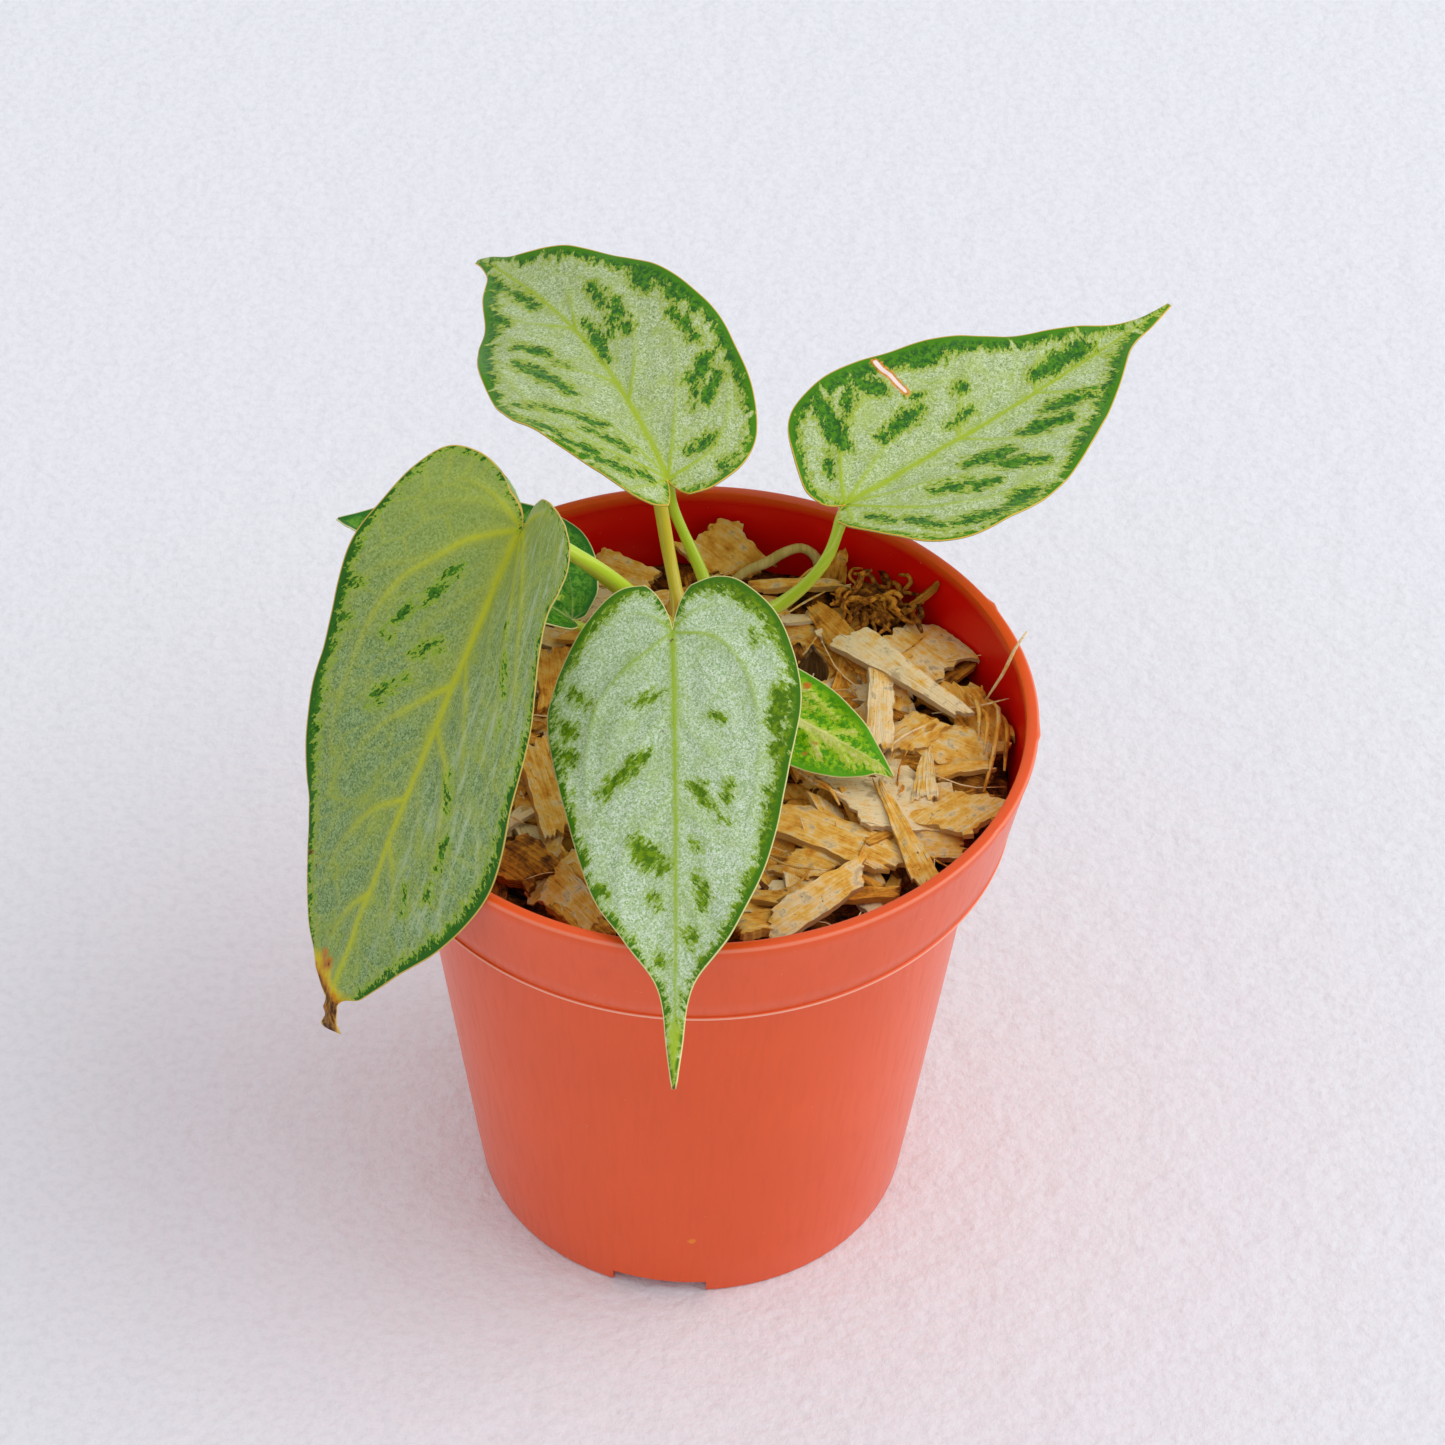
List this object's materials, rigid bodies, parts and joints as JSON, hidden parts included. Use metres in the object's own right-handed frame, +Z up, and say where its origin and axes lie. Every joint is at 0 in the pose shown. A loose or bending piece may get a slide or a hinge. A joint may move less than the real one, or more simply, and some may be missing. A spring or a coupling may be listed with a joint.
{
  "type": "potted anthurium",
  "caption": "Young potted anthurium with silvery heart-shaped blades on slender stalks, in a tapered plastic nursery pot filled with husk chips.",
  "frame": {"origin": "centre of the pot's underside, on the surface that it stands on", "axes": "+Z up; -Y is the front, towards which the front leaf points"},
  "size_m": [0.1559, 0.1976, 0.1601],
  "materials": {
    "pot_plastic": "satin, moulded",
    "husk_chips": "rough, split",
    "crown": "matt",
    "leaf_stalk": "satin",
    "silver_blade": "fine metallic sheen",
    "green_blade": "glossy",
    "cut_stalk": "satin",
    "dry_scale": "dry, matt",
    "root": "matt"
  },
  "bodies": {
    "root": {"pot": "pot_plastic", "husk_chip_fill": "husk_chips", "crown_stem": "crown", "petiole_front": "leaf_stalk", "petiole_left": "leaf_stalk", "petiole_back": "leaf_stalk", "petiole_right": "leaf_stalk", "petiole_small_left": "leaf_stalk", "petiole_small_right": "leaf_stalk", "blade_front": "silver_blade", "blade_left": "silver_blade", "blade_back": "silver_blade", "blade_right": "silver_blade", "blade_small_left": "green_blade", "blade_small_right": "green_blade", "old_cut_petiole": "cut_stalk", "dry_cataphyll": "dry_scale", "surface_root": "root"}
  },
  "joints": []
}
